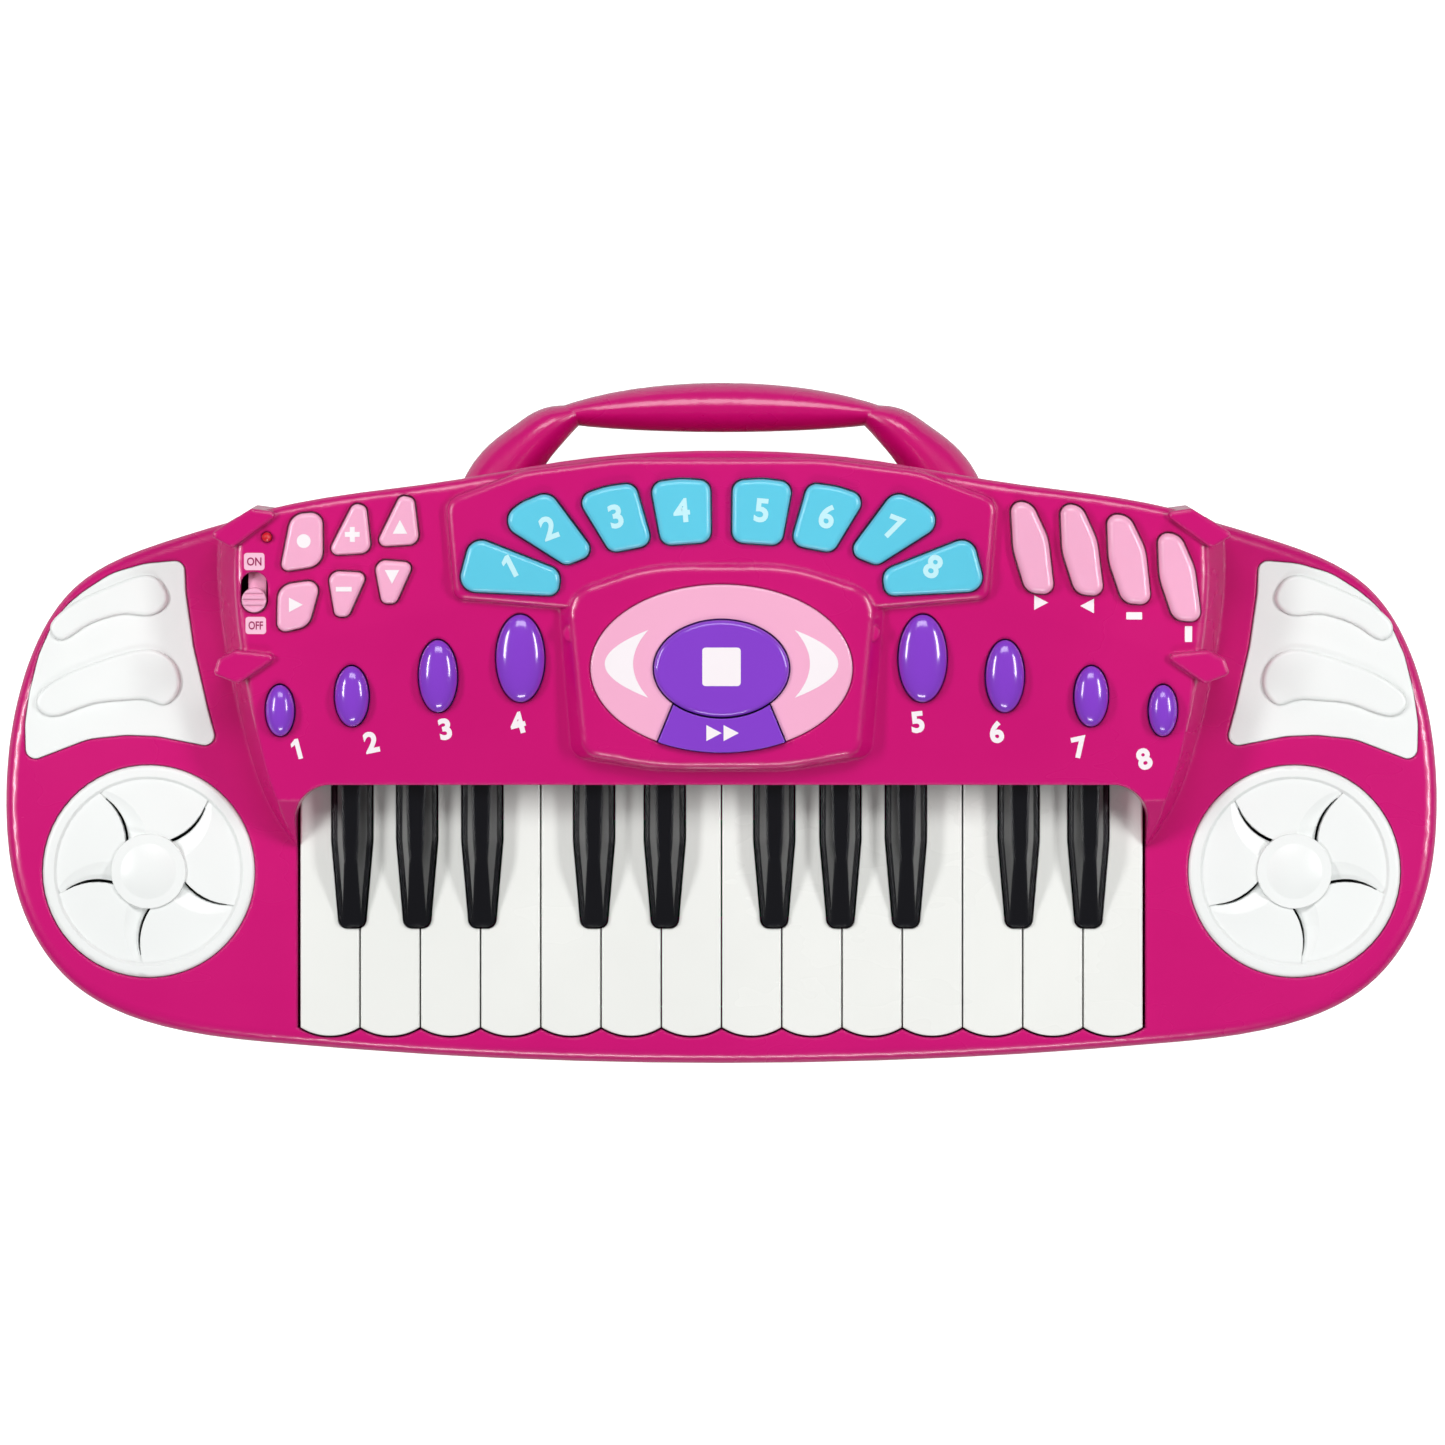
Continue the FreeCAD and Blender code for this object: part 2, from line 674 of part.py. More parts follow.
def keybed_skirt():
    """Thin wall that hangs down round the front and sides of the key opening."""
    outer = prism(keybed_outline(skirt), skirt_bottom, deck - wall / 2)
    outer = outer.common(prism(casing_outline(wall + 0.3), skirt_bottom, deck))
    return outer.cut([key_well(skirt_bottom - 1, deck)] + key_tunnels())


def post(x, y, ceiling):
    """Screw post bored for its screw, from the boss top up to the casing's underside."""
    bore = cylinder(screw_radius + screw_clearance / 2, x, y, boss_top - 1, screw_tip + 0.6)
    return cylinder(post_radius, x, y, boss_top, ceiling).cut(bore)


def upper_posts():
    posts = [post(x, y, deck - wall / 2) for x, y in both_sides(deck_screws)]
    x, y = console_screw
    ceiling = in_world(y, -band_fall(x, y) - wall / 2)
    return posts + [post(x, y, ceiling), post(-x, y, ceiling)]


def board_supports():
    """Short pillars from the console's underside to the panel board."""
    pillars = [cylinder(2.5, x, panel_y(y), -board_depth, top - wall / 2) for x, y, top in board_posts]
    return [on_panel(pillar) for pillar in pillars + [mirrored(pillar) for pillar in pillars]]


def fins():
    """Four pointed ridges at the console's corners."""
    rear_fin = [(155.0, 57.0), (148.0, 53.0), (133.0, 63.8), (142.0, 65.0)]
    front_fin = [(154.0, 15.0), (146.5, 12.0), (133.5, 20.8), (147.0, 22.2), (152.5, 19.5)]
    ridges = []
    for points in (rear_fin, front_fin):
        ridge = on_panel(round_top(prism(fin_outline(points), -18, 2.2), 2.2, 1.0))
        ridges += [ridge, mirrored(ridge)]
    return ridges


# Lower casing

feet = [(160.0, -62.0), (130.0, 40.0)]
bay_half_x = 54.6
bay_half_y = 15.9
bay_top = 18.9
door_screw_y = 62.5
door_screw_radius = 1.2
door_tab_half = 8.0


def bay_outline(grow):
    x, y0, y1 = bay_half_x, bay_y - bay_half_y, bay_y + bay_half_y
    return rounded_outline([(-x, y0), (x, y0), (x, y1), (-x, y1)], 1.0, grow)


def door_outline(grow):
    """Door with a tab for its screw."""
    x, y0, y1 = bay_half_x + 3, bay_y - bay_half_y - 3, bay_y + bay_half_y + 3
    t, end = door_tab_half, door_screw_y + 5.5
    points = [(-x, y0), (x, y0), (x, y1), (t, y1), (t, end), (-t, end), (-t, y1), (-x, y1)]
    return rounded_outline(points, [3, 3, 3, 1, 3, 3, 1, 3], grow)


def make_lower_casing():
    """Bottom moulding: floor, rim wall, feet, key rail and stop, bosses, battery bay, half handle."""
    body = prism(casing_outline(0), foot_height, parting)
    bottom = [e for e in body.Edges if e.BoundBox.ZMax < foot_height + 1e-4]
    body = body.makeFillet(bottom_rounding, bottom)
    solid = body.multiFuse(handle(0)).common(slab_between(0, parting))
    shell = solid.cut([prism(casing_outline(wall), floor_top, parting + 1)] + handle(wall))
    inner_floor = floor_top - wall / 2
    adds = [cylinder(foot_radius, x, y, 0, inner_floor) for x, y in both_sides(feet)]
    adds += [cylinder(boss_radius, x, y, inner_floor, boss_top) for x, y in both_sides(screw_places)]
    board_under = key_board_top - board_thickness
    adds += [cylinder(3.0, x, -45.0, inner_floor, board_under) for x in (-110, -40, 40, 110)]
    adds.append(box(-keybed_half + 1, keybed_half - 1, -92.0, -88.0, inner_floor, 13.6))
    adds.append(prism(bay_outline(bay_wall), inner_floor, bay_top + bay_wall))
    adds.append(cylinder(4.0, 0, door_screw_y, inner_floor, boss_top))
    shell = shell.multiFuse(adds + [key_rail()])
    cuts = [cylinder(screw_head_radius + screw_clearance, x, y, 0, foot_height + counterbore_depth)
            for x, y in both_sides(screw_places)]
    cuts += [cylinder(screw_radius + screw_clearance, x, y, 0, boss_top + 1)
             for x, y in both_sides(screw_places)]
    cuts.append(prism(bay_outline(0), 0, bay_top))
    cuts.append(prism(door_outline(0), 0, foot_height + door_thickness))
    cuts.append(cylinder(door_screw_radius + screw_clearance / 2, 0, door_screw_y, 0, boss_top - 2))
    return shell.cut(cuts).Solids[0]


def key_rail():
    """Round rail on a thin rib; every key snaps onto it and swings about it."""
    half = keybed_half - 0.7
    rib = box(-half, half, hinge_y - rail_rib / 2, hinge_y + rail_rib / 2, floor_top - wall / 2, hinge_z)
    rail = Part.makeCylinder(rail_radius, 2 * half, V(-half, hinge_y, hinge_z), V(1, 0, 0))
    return rib.fuse(rail)


def make_battery_door():
    """Flat door with a screw tab and two locating lugs inside the bay."""
    plate = prism(door_outline(-insert_gap), foot_height, foot_height + door_thickness)
    lug_y = bay_y - bay_half_y + 0.3
    lugs = [box(x - 4, x + 4, lug_y, lug_y + 1.6, foot_height + door_thickness - 0.2, foot_height + 4.0)
            for x in (-34, 34)]
    ribs = [box(x - 8, x + 8, bay_y - 12, bay_y - 11, foot_height - 0.6, foot_height + 0.2)
            for x in (-30, 0, 30)]
    hole = cylinder(door_screw_radius + screw_clearance, 0, door_screw_y, 0, floor_top)
    return plate.multiFuse(lugs + ribs).cut(hole)


def cross_slot(x, y, low, high):
    """Crossed slots of a screwdriver recess."""
    return box(x - 1.6, x + 1.6, y - 0.35, y + 0.35, low, high).fuse(
        box(x - 0.35, x + 0.35, y - 1.6, y + 1.6, low, high))


def make_screws():
    """Eight casing screws driven up from below, and the small one that holds the battery door."""
    found = []
    seat = foot_height + counterbore_depth
    for x, y in both_sides(screw_places):
        head = cylinder(screw_head_radius, x, y, seat - screw_head_height, seat)
        shaft = cylinder(screw_radius, x, y, seat - 0.5, screw_tip)
        found.append(head.fuse(shaft).cut(cross_slot(x, y, seat - screw_head_height - 1, seat - 1.0)))
    head = cylinder(2.4, 0, door_screw_y, 0.3, foot_height)
    shaft = cylinder(door_screw_radius, 0, door_screw_y, foot_height - 0.5, boss_top - 3)
    found.append(head.fuse(shaft).cut(cross_slot(0, door_screw_y, 0, 0.9)))
    return Part.makeCompound(found)


# White inserts: a wing panel and a speaker grille on each side, joined under the deck

humps = [
    [(170.2, 40.2), (175.0, 45.2), (185.8, 42.8), (196.6, 38.1), (203.1, 33.8), (206.1, 28.6), (204.0, 25.8),
     (196.6, 29.0), (190.1, 32.0), (182.3, 33.5), (174.6, 33.3)],
    [(169.8, 6.1), (166.1, 13.0), (168.5, 19.1), (174.6, 22.5), (181.5, 21.9), (194.4, 17.8), (205.3, 12.6),
     (210.4, 5.7), (208.3, 2.9), (198.8, 3.9), (192.3, 6.1), (183.6, 7.0), (175.0, 6.7)]]
hump_rise = 1.5
fan_floor = 2.8
fan_floor_under = 4.0


def polar(radius, degrees):
    angle = math.radians(degrees)
    return V(speaker_x + radius * math.cos(angle), speaker_y + radius * math.sin(angle), 0)


def blade_edge(turn, collar_shift, middle_shift, tip_shift):
    """Curve from the hub's collar outwards; each point's angle is the blade's plus its shift."""
    return [polar(collar_radius - 0.3, turn + collar_shift), polar(19.0, turn + middle_shift),
            polar(slit_end, turn + tip_shift)]


def blade_slit(turn):
    """Curved slit along a blade's edge, widest at the hub."""
    near, far_side = blade_edge(turn, -9.0, 2.2, 0.0), blade_edge(turn, -4.0, 4.8, 0.7)
    outline = Part.Wire([Part.Arc(*near).toShape(), Part.makeLine(near[2], far_side[2]),
                         Part.Arc(*far_side[::-1]).toShape(), Part.makeLine(far_side[0], near[0])])
    return prism(outline, deck - fan_floor_under - 1, deck + 2)


def blade_scoop(turn):
    """Dished hollow beside a blade's edge: part of a large ball that dips below the fan."""
    edge = blade_edge(turn, -9.0, 2.2, 0.0)
    tip, side = polar(fan_radius, turn - 1), polar(fan_radius, turn + 24)
    foot = polar(collar_radius - 0.3, turn + 45)
    outline = Part.Wire([Part.Arc(*edge).toShape(), Part.makeLine(edge[2], tip),
                         Part.Arc(tip, polar(fan_radius, turn + 10), side).toShape(),
                         Part.makeLine(side, foot), Part.makeLine(foot, edge[0])])
    middle = polar(scoop_middle, turn - 36)
    drop = math.sqrt(scoop_ball ** 2 - scoop_rim ** 2)
    ball = Part.makeSphere(scoop_ball, V(middle.x, middle.y, deck + drop))
    return ball.common(prism(outline, deck - fan_floor, deck + 1))


def make_insert():
    """Right-hand insert: grille with five blades round a domed hub, and the humped wing panel."""
    under = deck - fan_floor_under
    flange_top = deck - wall
    ring = cylinder(grille_radius, speaker_x, speaker_y, under, deck + insert_proud)
    ring = round_top(ring, deck + insert_proud, 1.5)
    bowl = Part.makeCone(fan_radius, fan_radius + 1.5, 1.5, V(speaker_x, speaker_y, deck))
    hub = cylinder(collar_radius, speaker_x, speaker_y, under, deck + 0.6)
    dome_radius = (hub_radius ** 2 + 2.4 ** 2) / (2 * 2.4)
    ball = Part.makeSphere(dome_radius, V(speaker_x, speaker_y, deck + 2.2 - dome_radius))
    ball = ball.common(cylinder(hub_radius, speaker_x, speaker_y, deck - 1, deck + 5))
    turns = [blade_turn + 360.0 / blade_count * k for k in range(blade_count)]
    grille = ring.cut([bowl] + [blade_scoop(turn) for turn in turns] + [blade_slit(turn) for turn in turns])
    grille = grille.multiFuse([hub, ball])
    wing = round_top(prism(wing_outline(0), under, deck + insert_proud), deck + insert_proud, 0.5)
    brows = [round_top(prism(spline_outline(points), deck, deck + insert_proud + hump_rise),
                       deck + insert_proud + hump_rise, 1.2) for points in humps]
    flanges = [prism(wing_outline(insert_flange), under, flange_top),
               cylinder(grille_radius + insert_flange, speaker_x, speaker_y, under, flange_top).cut(
                   cylinder(grille_radius - 1, speaker_x, speaker_y, under - 1, flange_top + 1)),
               box(speaker_x - 5, speaker_x + 5, speaker_y + 30, speaker_y + 46, under, flange_top)]
    room = prism(casing_outline(wall + 0.3), under - 1, deck)
    return grille.multiFuse([wing] + brows + [flange.common(room) for flange in flanges])


# Centre ring, stop and demo buttons and the power switch

def make_centre_ring():
    low, high = bubble_rise - ring_recess, bubble_rise - ring_recess + ring_thickness
    plate = round_top(prism(ring_outline(0), low, high), high, 0.7)
    stop = prism(stop_outline(button_gap), low - 1, high + 1)
    return on_panel(plate.cut([stop, prism(demo_wedge(button_gap), low - 1, high + 1)]))


def make_stop_button():
    """Oval cap inside the ring; its flange is cut away where the demo cap passes."""
    under = bubble_rise - ring_recess - flange_gap
    low, top = under - flange_thickness, bubble_rise + 2.6
    cap = round_top(prism(stop_outline(0), low, top), top, 1.6)
    flange = prism(stop_outline(flange_lip), low, under)
    flange = flange.cut(prism(demo_wedge(flange_lip + button_gap), low - 1, under + 1))
    return on_panel(cap.multiFuse([flange, stem(0, panel_y(ring_y), low)]))


def make_demo_button():
    """Curved key between the ring's ends, with its flange under the ring and the bubble's rim."""
    under = bubble_rise - wall - flange_gap
    low, top = under - flange_thickness, bubble_rise + 2.0
    cap = demo_region(0, low, top)
    flange = demo_region(flange_lip, low, under)
    return on_panel(cap.multiFuse([flange, stem(0, panel_y(ring_y - ring_b + 5.0), low)]))


def make_switch_knob():
    """Round-ended slider; a plate under the deck keeps it in its slot."""
    x, y = switch_place[0], panel_y(switch_place[1])
    plate_top = -wall - flange_gap
    head = round_top(prism(switch_outline(0, 0), plate_top - 1.0, 1.8), 1.8, 0.6)
    grooves = [box(x - 5, x + 5, y + at - 0.4, y + at + 0.4, 1.3, 3.0) for at in (-1.8, 0.0, 1.8)]
    reach = switch_half_width + switch_travel + 1.0
    plate = box(x - 2.0, x + 3.5, y - reach, y + reach, plate_top - 1.0, plate_top)
    fork = box(x - 1.5, x + 1.5, y - 1.5, y + 1.5, -7.2, plate_top - 0.8)
    return on_panel(head.cut(grooves).multiFuse([plate, fork]))


# Keys

black_places = [-113.3, -93.4, -73.4, -39.1, -17.4, 16.2, 36.5, 56.6, 91.2, 112.6]


def black_outline(x, grow):
    """Plan of a black key from its clip to its rounded tip."""
    w, t, rear = black_half_width, black_tip_half_width, hinge_y + 3.2
    points = [(x - w, rear), (x - w, black_knee), (x - t, black_tip), (x + t, black_tip),
              (x + w, black_knee), (x + w, rear)]
    return rounded_outline(points, [0.3, 20, 2.4, 2.4, 20, 0.3], grow)


def key_groove():
    """Groove of every key's clip, a little wider than the rail it snaps over."""
    reach = keybed_half + 5
    radius = rail_radius + rail_clearance
    return Part.makeCylinder(radius, 2 * reach, V(-reach, hinge_y, hinge_z), V(1, 0, 0))


def rib_relief():
    """Room for the rail's rib under a key that is pressed."""
    reach = keybed_half + 5
    return box(-reach, reach, hinge_y - 1.55, hinge_y + 1.55, hinge_z - 3, hinge_z)


def make_white_key(index):
    """White key: bowed front, notches for its black neighbours, hollow front, plunger and clip."""
    x = white_middle(index)
    x0, x1 = x - (key_pitch - key_gap) / 2, x + (key_pitch - key_gap) / 2
    front = keybed_front + white_front_gap
    corner = front + white_front_bulge
    rear = keybed_rear + 5
    outline = Part.Wire([Part.Arc(V(x0, corner, 0), V(x, front, 0), V(x1, corner, 0)).toShape(),
                         Part.makeLine(V(x1, corner, 0), V(x1, rear, 0)),
                         Part.makeLine(V(x1, rear, 0), V(x0, rear, 0)),
                         Part.makeLine(V(x0, rear, 0), V(x0, corner, 0))])
    near = [b for b in black_places if abs(b - x) < key_pitch / 2 + black_half_width + 1]
    notches = [prism(black_outline(b, 0.5), white_bottom - 3, white_top + 3) for b in near]
    body = round_top(prism(outline, white_bottom, white_top), white_top, 0.7).cut(notches)
    tail = box(x0, x1, rear - 5, hinge_y + 3.2, hinge_z - 1, white_top - 2.5).cut(notches)
    pocket = box(x0 + key_skin, x1 - key_skin, corner + key_skin, black_tip - 3, white_bottom - 1,
                 white_top - key_skin - 0.2)
    centre = plunger_place(index)
    plunger = box(centre - 1.6, centre + 1.6, -51.6, -48.4, 16.3, white_bottom + 1)
    return body.multiFuse([tail, plunger]).cut([pocket, key_groove(), rib_relief()])


def make_black_key(x):
    """Black key: narrow base with a faceted cap that slopes down to its tip, plunger and clip."""
    base_top = white_top + 1.2
    rear = keybed_rear + 4
    plan = prism(black_outline(x, 0), hinge_z - 1, base_top)
    base = plan.common(box(x - 20, x + 20, -80, rear, hinge_z, base_top))
    tail = plan.common(box(x - 20, x + 20, rear - 5, 20, hinge_z - 1, white_top - 2.5))
    foot = [(-5.2, rear), (-5.2, black_knee), (-3.0, black_tip + 0.9), (3.0, black_tip + 0.9),
            (5.2, black_knee), (5.2, rear)]
    facet = black_facet_half_width
    crown = [(-facet, rear), (-facet + 0.6, black_knee), (-facet + 1.1, black_facet_end),
             (facet - 1.1, black_facet_end), (facet - 0.6, black_knee), (facet, rear)]
    low = Part.makePolygon([V(x + px, py, base_top - 0.2) for px, py in foot + foot[:1]])
    high = Part.makePolygon([V(x + px, py, black_top) for px, py in crown + crown[:1]])
    cap = Part.makeLoft([low, high], True, True)
    plunger = box(x - 1.6, x + 1.6, -37.6, -34.4, 15.8, hinge_z + 1)
    return base.multiFuse([tail, cap, plunger]).cut([key_groove(), rib_relief()])


# Electronics: boards, contact domes, lamp, slide switch, speakers and cells

def make_key_board():
    """Board under the keys with a rubber dome for every key and a blob-topped chip."""
    top = key_board_top
    plate = box(-128, 128, -60, -30, top - board_thickness, top)
    pieces = [plate]
    for i in range(white_count):
        pieces.append(Part.makeCone(2.6, 1.5, 1.6, V(plunger_place(i), -50, top)))
    for x in black_places:
        pieces.append(Part.makeCone(2.6, 1.5, 1.6, V(x, -36, top)))
    return pieces


def make_panel_board():
    """Inclined board under the console with a dome below every button's stem."""
    low = -board_depth - board_thickness
    right = [(100, 17), (143, 22), (143, 74), (126, 80), (80, 86), (55, 90)]
    outline = rounded_outline(right + [(-x, y) for x, y in right[::-1]], 3.0)
    plate = prism(outline, low, -board_depth)
    x, y = console_screw
    along = panel_y(y) + low * math.tan(tilt)
    posts = [cylinder(post_radius + 0.8, side * x, along, low - 1, 0) for side in (1, -1)]
    plate = plate.cut(posts)
    stems = [b["centre"] for b in buttons] + [(0, panel_y(ring_y)), (0, panel_y(ring_y - ring_b + 5.0))]
    pieces = [plate]
    for x, y in stems:
        pieces.append(Part.makeCone(3.0, 2.0, dome_height, V(x, y, -board_depth)))
    chip = Part.makeCylinder(9.0, 1.2, V(28, 70, -board_depth))
    pieces.append(chip)
    x, y = led_place[0], panel_y(led_place[1])
    lamp = cylinder(led_radius, x, y, -board_depth, 0.6).fuse(Part.makeSphere(led_radius, V(x, y, 0.6)))
    pieces.append(lamp)
    x, y = switch_place[0], panel_y(switch_place[1]) + switch_travel / 2
    pieces.append(box(x - 1.4, x + 4.5, y - 7, y + 7, -board_depth, -7.6))
    return [on_panel(piece) for piece in pieces]


def make_speaker(side):
    """Loudspeaker: rim under the grille, cone-shaped basket and magnet."""
    under = deck - fan_floor_under
    x = side * speaker_x
    rim = cylinder(28.0, x, speaker_y, under - 2, under)
    basket = Part.makeCone(14.0, 25.0, 8.5, V(x, speaker_y, under - 10.5))
    magnet = cylinder(13.0, x, speaker_y, 5.0, under - 10.5)
    cone = Part.makeCone(8.0, 24.0, 6.0, V(x, speaker_y, under - 6.0))
    return rim.multiFuse([basket, magnet]).cut(cone)


def make_cells():
    """Four AA cells in two rows, with a contact plate at each end of the bay."""
    pieces = []
    z = foot_height + door_thickness + bay_clearance + cell_radius
    for y in (bay_y - 7.7, bay_y + 7.7):
        for x in (-cell_length - 0.8, 0.8):
            pieces.append(Part.makeCylinder(cell_radius, cell_length - 1.2, V(x, y, z), V(1, 0, 0)))
    end = bay_half_x - 0.9
    plates = [box(side * end - 0.4, side * end + 0.4, bay_y - 13, bay_y + 13, z - 5, z + 5)
              for side in (1, -1)]
    return pieces + plates


def plunger_place(index):
    """Middle of the strip of a white key that is left between its black neighbours."""
    x = white_middle(index)
    half = (key_pitch - key_gap) / 2
    near = [b for b in black_places if abs(b - x) < key_pitch / 2 + black_half_width + 1]
    left = max([x - half] + [b + black_half_width + 0.5 for b in near if b < x])
    right = min([x + half] + [b - black_half_width - 0.5 for b in near if b > x])
    return (left + right) / 2


def make_electronics():
    pieces = make_key_board() + make_panel_board() + make_cells()
    return Part.makeCompound(pieces + [make_speaker(1), make_speaker(-1)])


os.makedirs("parts", exist_ok=True)
export(make_upper_casing(), "upper_casing")
export(make_lower_casing(), "lower_casing")
insert = make_insert()
export(Part.makeCompound([insert, mirrored(insert)]), "side_inserts")
export(make_battery_door(), "battery_door")
export(make_screws(), "screws")
export(make_electronics(), "electronics")
export(make_centre_ring(), "centre_ring")
export(make_stop_button(), "stop_button")
export(make_demo_button(), "demo_button")
export(make_switch_knob(), "power_switch_knob")
for button in buttons:
    export(make_button(button), button["name"])
for number in range(white_count):
    export(make_white_key(number), "white_key_%02d" % (number + 1))
for number, place in enumerate(black_places):
    export(make_black_key(place), "black_key_%02d" % (number + 1))
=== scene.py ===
import json
import math

import bpy
import numpy as np
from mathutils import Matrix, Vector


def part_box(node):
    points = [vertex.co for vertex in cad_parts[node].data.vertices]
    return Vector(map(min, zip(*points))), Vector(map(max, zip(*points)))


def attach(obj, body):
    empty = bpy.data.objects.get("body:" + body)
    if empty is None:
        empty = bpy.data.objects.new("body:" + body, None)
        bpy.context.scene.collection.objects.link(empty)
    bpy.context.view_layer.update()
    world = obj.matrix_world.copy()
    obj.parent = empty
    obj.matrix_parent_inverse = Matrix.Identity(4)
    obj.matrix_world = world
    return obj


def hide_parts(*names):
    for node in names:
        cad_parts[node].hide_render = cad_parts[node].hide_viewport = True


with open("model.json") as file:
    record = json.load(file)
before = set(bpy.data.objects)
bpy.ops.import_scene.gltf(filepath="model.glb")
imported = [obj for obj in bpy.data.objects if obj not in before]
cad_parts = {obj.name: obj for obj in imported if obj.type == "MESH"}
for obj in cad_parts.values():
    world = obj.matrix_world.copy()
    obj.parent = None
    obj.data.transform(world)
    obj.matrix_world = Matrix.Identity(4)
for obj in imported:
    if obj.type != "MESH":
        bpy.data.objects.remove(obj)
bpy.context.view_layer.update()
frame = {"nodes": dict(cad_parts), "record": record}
nodes = frame["nodes"]
bodies = frame["record"]["behaviour"]["bodies"]


# Casing: two magenta ABS mouldings screwed together from below, the upper one glossy. It carries
# the inclined console and the upper half of the handle, and the lower one the feet, the battery
# bay and the handle's lower half. Handling has dulled their edges a little.

def wire(tree, source, output, target, socket):
    """Link from a node's named output to another node's input."""
    tree.links.new(source.outputs[output], target.inputs[socket])


def add_node(tree, kind, **settings):
    """New shader node; settings name either its attributes or, with spaces as _, its inputs."""
    node = tree.nodes.new(kind)
    for name, value in settings.items():
        held = getattr(node, name, None)
        if held is not None and not isinstance(held, bpy.types.bpy_prop_collection):
            setattr(node, name, value)
        else:
            node.inputs[name.replace("_", " ")].default_value = value
    return node


def sum_of(tree, operation, first, second):
    """Math node on two (node, output) pairs or numbers."""
    node = add_node(tree, "ShaderNodeMath", operation=operation)
    for socket, value in enumerate((first, second)):
        if isinstance(value, tuple):
            wire(tree, value[0], value[1], node, socket)
        else:
            node.inputs[socket].default_value = value
    return node


def make_moulded_surface():
    """Node group for moulded plastic: rounds the edges, rubs them paler and adds grain and smears.

    The edge mask rises from nought to one while the dot product of the true normal and the rounded
    one falls from 0.995 to 0.8; clouds break it up. Roughness is the given one plus broad clouds,
    smears and the rubbed edges. The grain is a fine bump."""
    group = bpy.data.node_groups.new("moulded_surface", "ShaderNodeTree")
    for name, kind in (("Colour", "NodeSocketColor"), ("Rubbed Colour", "NodeSocketColor"),
                       ("Edge Radius", "NodeSocketFloat"), ("Roughness", "NodeSocketFloat"),
                       ("Grain Scale", "NodeSocketFloat"), ("Grain Depth", "NodeSocketFloat")):
        group.interface.new_socket(name, in_out="INPUT", socket_type=kind)
    for name, kind in (("Colour", "NodeSocketColor"), ("Roughness", "NodeSocketFloat"),
                       ("Normal", "NodeSocketVector")):
        group.interface.new_socket(name, in_out="OUTPUT", socket_type=kind)
    given = group.nodes.new("NodeGroupInput")
    result = group.nodes.new("NodeGroupOutput")
    place = add_node(group, "ShaderNodeTexCoord")
    clouds = add_node(group, "ShaderNodeTexNoise", Scale=14.0, Detail=3.0, Roughness=0.55)
    grain = add_node(group, "ShaderNodeTexNoise", Detail=2.0)
    stretch = add_node(group, "ShaderNodeMapping", Scale=(30.0, 90.0, 45.0),
                       Rotation=(0.0, 0.0, 0.5))
    smears = add_node(group, "ShaderNodeTexNoise", Scale=1.0, Detail=2.0)
    for node in (clouds, grain, stretch):
        wire(group, place, "Object", node, "Vector")
    wire(group, stretch, "Vector", smears, "Vector")
    wire(group, given, "Grain Scale", grain, "Scale")
    rounded = add_node(group, "ShaderNodeBevel", samples=4)
    wire(group, given, "Edge Radius", rounded, "Radius")
    geometry = add_node(group, "ShaderNodeNewGeometry")
    likeness = add_node(group, "ShaderNodeVectorMath", operation="DOT_PRODUCT")
    wire(group, rounded, "Normal", likeness, 0)
    wire(group, geometry, "Normal", likeness, 1)
    edge = add_node(group, "ShaderNodeMapRange", From_Min=0.995, From_Max=0.8)
    wire(group, likeness, "Value", edge, "Value")
    patchy = add_node(group, "ShaderNodeMapRange", From_Min=0.35, From_Max=0.65)
    wire(group, clouds, "Fac", patchy, "Value")
    rubbed = sum_of(group, "MULTIPLY", (edge, "Result"), (patchy, "Result"))
    colour = add_node(group, "ShaderNodeMix", data_type="RGBA")
    palest = 0.35
    strength = sum_of(group, "MULTIPLY", (rubbed, "Value"), palest)
    wire(group, strength, "Value", colour, "Factor")
    wire(group, given, "Colour", colour, "A")
    wire(group, given, "Rubbed Colour", colour, "B")
    shade = add_node(group, "ShaderNodeMapRange", From_Min=0.3, From_Max=0.7, To_Min=0.97,
                     To_Max=1.03)
    wire(group, clouds, "Fac", shade, "Value")
    tinted = add_node(group, "ShaderNodeHueSaturation")
    wire(group, shade, "Result", tinted, "Value")
    wire(group, colour, "Result", tinted, "Color")
    wire(group, tinted, "Color", result, "Colour")
    cloud_range, smear_range, roughest_rub = 0.16, 0.06, 0.12
    cloud_part = sum_of(group, "MULTIPLY_ADD", (clouds, "Fac"), cloud_range)
    cloud_part.inputs[2].default_value = -cloud_range / 2
    smear_part = sum_of(group, "MULTIPLY_ADD", (smears, "Fac"), smear_range)
    smear_part.inputs[2].default_value = -smear_range / 2
    edge_part = sum_of(group, "MULTIPLY", (rubbed, "Value"), roughest_rub)
    rough = sum_of(group, "ADD", (given, "Roughness"), (cloud_part, "Value"))
    rough = sum_of(group, "ADD", (rough, "Value"), (smear_part, "Value"))
    rough = sum_of(group, "ADD", (rough, "Value"), (edge_part, "Value"))
    rough.use_clamp = True
    wire(group, rough, "Value", result, "Roughness")
    bump = add_node(group, "ShaderNodeBump", Distance=0.0003)
    wire(group, given, "Grain Depth", bump, "Strength")
    wire(group, grain, "Fac", bump, "Height")
    wire(group, rounded, "Normal", bump, "Normal")
    wire(group, bump, "Normal", result, "Normal")
    return group


moulded_surface = make_moulded_surface()


